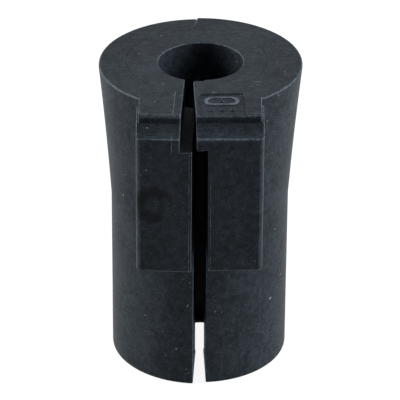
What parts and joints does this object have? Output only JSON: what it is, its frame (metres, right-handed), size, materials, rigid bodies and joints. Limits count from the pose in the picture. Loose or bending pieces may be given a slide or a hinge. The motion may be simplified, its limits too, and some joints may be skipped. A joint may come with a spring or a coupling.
{
  "type": "strain relief bushing",
  "caption": "Split rubber bushing with a central cable bore, a stepped V slit, front key pads and a flared head.",
  "frame": {"origin": "on the cable bore's axis, level with the foot that it stands on", "axes": "+Z along the cable, from the foot to the flared head; -Y towards the slit and the key pads; +X towards the half with the tongue"},
  "size_m": [0.024, 0.0282, 0.038],
  "materials": {
    "rubber": "matt charcoal, fine spark-eroded grain"
  },
  "bodies": {
    "root": {"bushing": "rubber"}
  },
  "joints": []
}
